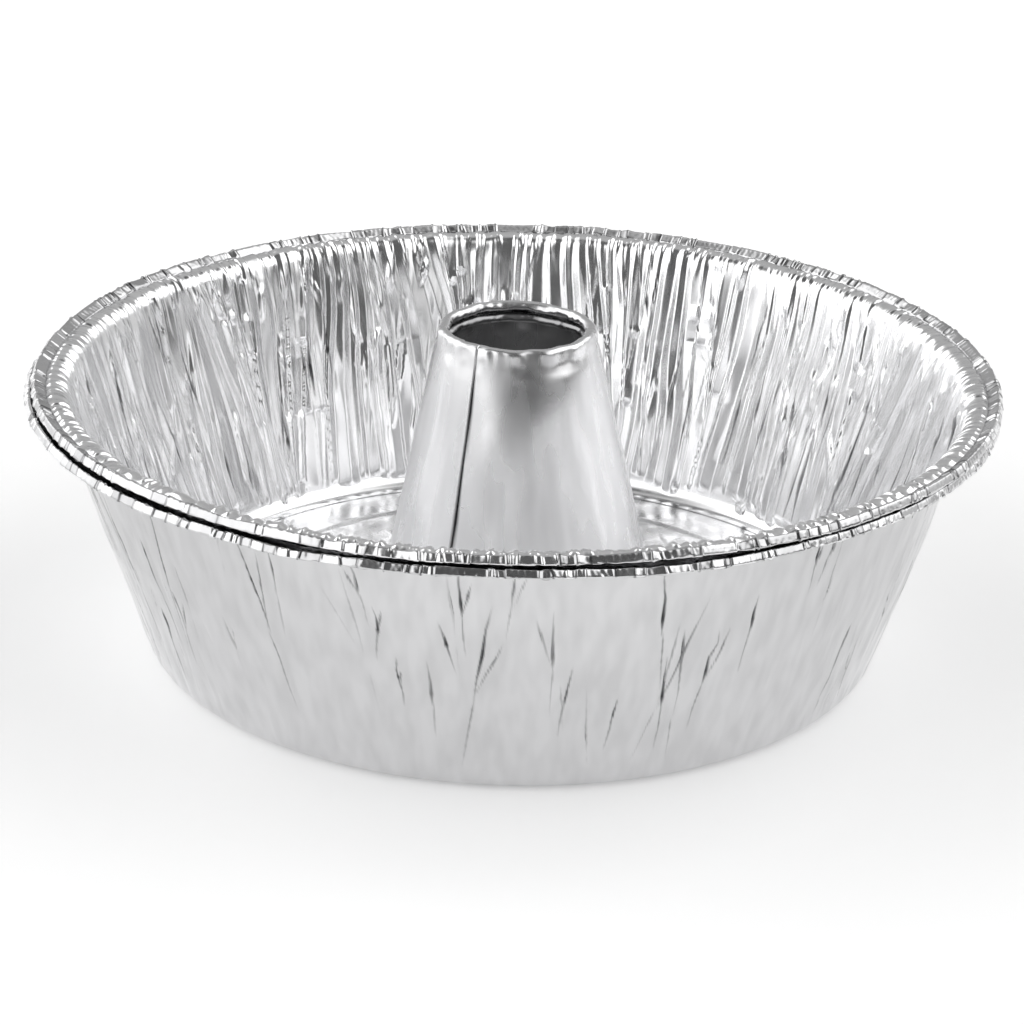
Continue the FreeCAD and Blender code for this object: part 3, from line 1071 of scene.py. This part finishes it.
def tube_mesh(context, pan, lift, seed, tree, material):
    """The rolled tube of one pan, with soft dents, a hand-crimped curl and a painted shadow line along its
    seam; the lower tube is darkened with painted shade all over.
    """
    shape = shape_of(context)
    look = context.scene.foil_pan_look
    sizes = shape.sizes
    flange_z = shape.panel_z - sizes.foil - sizes.seat_gap
    foot = shape.tube_radius(flange_z)
    lap = sizes.lap_width / foot
    mesh = grown(tree, {
        "Foot Radius": foot,
        "Foot Height": flange_z,
        "Flange Width": sizes.flange_width,
        "Wall Length": (shape.curl_start - flange_z) / math.cos(sizes.tube_taper),
        "Taper": sizes.tube_taper,
        "Curl Bend": shape.curl_bend,
        "Return Bend": sizes.curl_return,
        "Return Turn": math.radians(70.0),
        "Lap Start": sizes.lap_edge - lap,
        "Lap Angle": lap,
        "Lap Slant": sizes.lap_slant,
        "Lap Step": sizes.foil * 2.1,
        "Columns": 221,
        "Rows": 95,
        "Material": material,
    }, f"{pan}_tube")
    points = mesh_points(mesh)
    radius, angles = polar(points)
    height = points[:, 2]
    wall = smooth(0.08, 0.25, height / shape.curl_start)
    dents = ripple(angles, height, 22, 0.03, 45.0 * MM, 50.0 * MM, 18) * look.dent_depth * wall
    below_curl = shape.curl_start - height
    near_curl = 1.0 - smooth(1.5 * MM, 7.0 * MM, below_curl)
    crimps = ripple(angles, height, seed + 23, 0.02, 11.0 * MM, 9.0 * MM, 18) * 0.16 * MM
    crimps += ripple(angles, height, seed + 24, 0.02, 4.0 * MM, 4.0 * MM, 24) * 0.06 * MM
    groove = np.exp(-(((below_curl - 3.2 * MM) / (1.3 * MM)) ** 2))
    groove *= 0.55 + 0.45 * np.cos(2.0 * angles + 1.1)
    inward = -0.38 * MM * groove + dents * (1.0 - near_curl) + crimps * near_curl
    points[:, :2] *= (1.0 + inward / radius)[:, None]
    wave = 0.16 * MM * np.cos(3.0 * angles + 0.7) + 0.09 * MM * np.cos(7.0 * angles + 2.0)
    points[:, 2] += near_curl * (wave - 0.25 * MM)
    # Painted shadow along the lap edge of the seam; the lower pan's whole tube also gets painted shade.
    lap_edge = sizes.lap_edge + sizes.lap_slant * height / shape.curl_start
    away = (angles - lap_edge + math.pi) % (2.0 * math.pi) - math.pi
    painted_shades = np.clip(1.5 - np.abs(away) * radius / (0.35 * MM), 0.0, 1.0)
    painted_shades *= smooth(1.0 * MM, 12.0 * MM, below_curl)
    store_painted_shade(mesh, np.maximum(painted_shades, PAINTED_LOWER_TUBE_SHADE) if pan == "lower_pan" else painted_shades)
    points[:, 0] += tube_slip(height, shape)
    points[:, 2] += lift
    set_points(mesh, points)
    return thickened(mesh, sizes.foil, 0.0)


# ---------------------------------------------------------------- materials


def foil_material(name, look, colour, rough_low, rough_high, streak):
    """Rolled aluminium foil: a bright metal whose gloss and brightness run in soft drawn streaks.

    streak is the width of the drawn streaks in millimetres. They run up the wall. Real ones are
    finer than a tenth of a millimetre, and are drawn this coarse so that they show. Where a vertex
    carries painted shade, the metal is mixed towards a dark painted shade colour.
    """
    material = bpy.data.materials.get(name)
    if material:
        return material
    material = bpy.data.materials.new(name)
    material.use_nodes = True
    tree = material.node_tree
    tree.nodes.clear()
    spot = add_node(tree, "ShaderNodeTexCoord").outputs["Object"]
    per_metre = 1.0 / (streak * MM)
    drawn = add_node(tree, "ShaderNodeMapping",
                     {"Vector": spot, "Scale": (per_metre, per_metre, per_metre / 16.0)})
    lines = add_node(tree, "ShaderNodeTexNoise",
                     {"Vector": drawn, "Scale": 1.0, "Detail": 1.0, "Roughness": 0.5})
    patches = add_node(tree, "ShaderNodeTexNoise",
                       {"Vector": spot, "Scale": 1.0 / (14.0 * MM), "Detail": 1.0})
    mixed = add_node(tree, "ShaderNodeMath", {0: patches, 1: 0.3, 2: lines}, operation="MULTIPLY_ADD")
    rough = add_node(tree, "ShaderNodeMapRange",
                     {"Value": mixed, 1: 0.45, 2: 0.85, 3: rough_low, 4: rough_high})
    dull = add_node(tree, "ShaderNodeMapRange", {"Value": mixed, 1: 0.45, 2: 0.85, 3: 0.0, 4: 1.0})
    duller = tuple(0.90 * part for part in colour)
    drawn_tint = add_node(tree, "ShaderNodeMix", {"Factor": dull, "A": (*colour, 1.0), "B": (*duller, 1.0)},
                          data_type="RGBA")
    # Painted shade: the stored vertex value mixes the foil's colour towards the dark painted shade colour.
    fold = add_node(tree, "ShaderNodeAttribute", attribute_name="fold").outputs["Fac"]
    tint = add_node(tree, "ShaderNodeMix", {"Factor": fold, "A": drawn_tint.outputs["Result"],
                                            "B": (*look.painted_shade_colour, 1.0)}, data_type="RGBA")
    shader = add_node(tree, "ShaderNodeBsdfPrincipled",
                      {"Base Color": tint.outputs["Result"], "Metallic": 1.0, "Roughness": rough})
    add_node(tree, "ShaderNodeOutputMaterial", {"Surface": shader})
    return material


def bright_foil(context):
    """Bright side of rolled aluminium foil, stretched by the press: sharp reflections, dull streaks."""
    look = context.scene.foil_pan_look
    return foil_material("Rolled aluminium foil, bright side", look, look.bright_foil, 0.12, 0.26, 3.5)


def floor_foil(context):
    """Foil pressed flat by the punch: smoother and a little duller than the wall."""
    look = context.scene.foil_pan_look
    return foil_material("Rolled aluminium foil, pressed flat", look, look.bright_foil, 0.16, 0.32, 6.0)


def satin_foil(context):
    """Heavier foil rolled into a cone, satin side out: broad soft reflections."""
    look = context.scene.foil_pan_look
    return foil_material("Rolled aluminium foil, satin side", look, look.satin_foil, 0.22, 0.34, 5.0)


# ---------------------------------------------------------------- operators


class FOIL_OT_walls(bpy.types.Operator):
    """Make the pleated wall of each pan, from the floor's corner to the crease of the rim"""

    bl_idname = "foil_pans.walls"
    bl_label = "Pleated walls"

    def execute(self, context):
        material = bright_foil(context)
        for pan, lift, seed in PANS:
            for k, mesh in enumerate(wall_meshes(context, pan, lift, seed)):
                add_piece(f"{pan}_wall_{k + 1}", mesh, material, pan, f"{pan}_shell")
        return {"FINISHED"}


class FOIL_OT_hems(bpy.types.Operator):
    """Make the folded and crimped hem of each pan"""

    bl_idname = "foil_pans.hems"
    bl_label = "Crimped hems"

    def execute(self, context):
        material = bright_foil(context)
        for pan, lift, seed in PANS:
            mesh = hem_mesh(context, pan, lift, seed)
            add_piece(f"{pan}_hem", mesh, material, pan, f"{pan}_shell")
        return {"FINISHED"}


class FOIL_OT_floors(bpy.types.Operator):
    """Make the pressed floor of each pan, with its bead and the collar round the tube"""

    bl_idname = "foil_pans.floors"
    bl_label = "Pressed floors"

    def execute(self, context):
        material = floor_foil(context)
        tree = floor_tree()
        for pan, lift, seed in PANS:
            mesh = floor_mesh(context, pan, lift, seed, tree, material)
            add_piece(f"{pan}_floor", mesh, material, pan, f"{pan}_shell")
        return {"FINISHED"}


class FOIL_OT_tubes(bpy.types.Operator):
    """Make the rolled tube of each pan, with its lap seam and its curl"""

    bl_idname = "foil_pans.tubes"
    bl_label = "Rolled tubes"

    def execute(self, context):
        material = satin_foil(context)
        tree = tube_tree()
        for pan, lift, seed in PANS:
            mesh = tube_mesh(context, pan, lift, seed, tree, material)
            add_piece(f"{pan}_tube_skin", mesh, material, pan, f"{pan}_tube")
        return {"FINISHED"}


# Soft boxes of the studio: azimuth from the camera's side (to the right is positive) and elevation,
# both as (middle, half width, soft edge) in degrees, then brightness.
SOFT_BOXES = (
    ((-85.0, 58.0, 8.0), (20.0, 38.0, 10.0), 1.45),
    ((88.0, 52.0, 8.0), (41.0, 26.0, 8.0), 1.45),
    ((112.0, 22.0, 8.0), (2.0, 12.0, 6.0), 0.50),
    ((180.0, 75.0, 25.0), (66.0, 22.0, 12.0), 0.35),
    ((180.0, 45.0, 12.0), (20.0, 24.0, 10.0), 0.30),
)
ROOM_LIGHT = 0.11
PAPER_GLOW = 0.25


def soft_share(tree, value, middle, half, edge, wraps):
    """1 within half of the middle, falling to 0 over the soft edge."""
    away = add_node(tree, "ShaderNodeMath", {0: value, 1: math.radians(middle)}, operation="SUBTRACT")
    if wraps:
        away = math_chain(tree, away, [("ADD", 3.0 * math.pi), ("FLOORED_MODULO", 2.0 * math.pi),
                                       ("SUBTRACT", math.pi)])
    away = add_node(tree, "ShaderNodeMath", {0: away}, operation="ABSOLUTE")
    near, far = math.radians(half - edge), math.radians(half + edge)
    return add_node(tree, "ShaderNodeMapRange", {"Value": away, 1: near, 2: far, 3: 1.0, 4: 0.0},
                    interpolation_type="SMOOTHSTEP")


def studio_world(scene):
    """Soft boxes all round, open and dark towards the camera."""
    world = bpy.data.worlds.new("Studio")
    scene.world = world
    world.use_nodes = True
    tree = world.node_tree
    tree.nodes.clear()
    sky = add_node(tree, "ShaderNodeTexCoord").outputs["Generated"]
    way = add_node(tree, "ShaderNodeSeparateXYZ", {0: sky})
    front = add_node(tree, "ShaderNodeMath", {0: way.outputs["Y"], 1: -1.0}, operation="MULTIPLY")
    azimuth = add_node(tree, "ShaderNodeMath", {0: way.outputs["X"], 1: front}, operation="ARCTAN2")
    elevation = add_node(tree, "ShaderNodeMath", {0: way.outputs["Z"]}, operation="ARCSINE")
    level = ROOM_LIGHT
    for across, upward, brightness in SOFT_BOXES:
        share = soft_share(tree, azimuth, *across, True)
        share = math_chain(tree, share, [("MULTIPLY", soft_share(tree, elevation, *upward, False))])
        level = math_chain(tree, share, [("MULTIPLY", brightness), ("ADD", level)])
    light = add_node(tree, "ShaderNodeBackground", {"Color": (1.0, 1.0, 1.0, 1.0), "Strength": level})
    add_node(tree, "ShaderNodeOutputWorld", {"Surface": light})


def studio_camera(scene):
    """A long lens a little above the rim, tipped very slightly to one side, aimed at the wall."""
    target = Vector((0.0, 0.0, 45.0 * MM))
    distance = 0.8534
    elevation = math.radians(21.69)
    roll = math.radians(-1.352)
    back = Vector((0.0, -math.cos(elevation), math.sin(elevation)))
    data = bpy.data.cameras.new("Camera")
    data.lens = 115.7
    data.sensor_width = 36.0
    data.shift_x = -0.003
    data.shift_y = -0.0425
    data.clip_start = 0.01
    data.clip_end = 100.0
    camera = bpy.data.objects.new("Camera", data)
    turned = (-back).to_track_quat("-Z", "Y").to_matrix().to_4x4() @ Matrix.Rotation(-roll, 4, "Z")
    camera.matrix_world = Matrix.Translation(target + back * distance) @ turned
    scene.collection.objects.link(camera)
    scene.camera = camera


class FOIL_OT_stage(bpy.types.Operator):
    """Make the pale floor, the soft studio light and the camera"""

    bl_idname = "foil_pans.stage"
    bl_label = "Stage"

    def execute(self, context):
        scene = context.scene
        reach = 6.0
        below = 0.05 * MM
        mesh = bpy.data.meshes.new("studio_floor")
        corners = [(x * reach, y * reach, 0.0) for x, y in ((-1, -1), (1, -1), (1, 1), (-1, 1))]
        mesh.from_pydata(corners, [], [(0, 1, 2, 3)])
        paper = bpy.data.materials.new("Matt white paper")
        paper.use_nodes = True
        shader = paper.node_tree.nodes["Principled BSDF"]
        shader.inputs["Base Color"].default_value = (*scene.foil_pan_look.floor_colour, 1.0)
        shader.inputs["Roughness"].default_value = 0.9
        shader.inputs["Specular IOR Level"].default_value = 0.1
        shader.inputs["Emission Color"].default_value = (1.0, 1.0, 1.0, 1.0)
        shader.inputs["Emission Strength"].default_value = PAPER_GLOW
        mesh.materials.append(paper)
        floor = bpy.data.objects.new("studio_floor", mesh)
        floor.location.z = -below
        scene.collection.objects.link(floor)
        studio_world(scene)
        studio_camera(scene)
        scene.view_settings.view_transform = "Standard"
        return {"FINISHED"}


class FOIL_PT_panel(bpy.types.Panel):
    """Sizes, finishes and steps of the foil pans"""

    bl_idname = "FOIL_PT_panel"
    bl_label = "Foil pans"
    bl_space_type = "VIEW_3D"
    bl_region_type = "UI"
    bl_category = "Foil pans"

    def draw(self, context):
        for group in (context.scene.foil_pan_sizes, context.scene.foil_pan_look):
            for name in group.bl_rna.properties.keys():
                if name not in {"rna_type", "name"}:
                    self.layout.prop(group, name)
        for operator in OPERATORS:
            self.layout.operator(operator.bl_idname)


OPERATORS = (FOIL_OT_walls, FOIL_OT_hems, FOIL_OT_floors, FOIL_OT_tubes, FOIL_OT_stage)
CLASSES = (FoilPanSizes, FoilPanLook, *OPERATORS, FOIL_PT_panel)


def register():
    for item in CLASSES:
        bpy.utils.register_class(item)
    bpy.types.Scene.foil_pan_sizes = bpy.props.PointerProperty(type=FoilPanSizes)
    bpy.types.Scene.foil_pan_look = bpy.props.PointerProperty(type=FoilPanLook)


def unregister():
    del bpy.types.Scene.foil_pan_look
    del bpy.types.Scene.foil_pan_sizes
    for item in reversed(CLASSES):
        bpy.utils.unregister_class(item)


def main():
    register()
    bpy.ops.foil_pans.walls()
    bpy.ops.foil_pans.hems()
    bpy.ops.foil_pans.floors()
    bpy.ops.foil_pans.tubes()
    bpy.ops.foil_pans.stage()


if __name__ == "__main__":
    main()
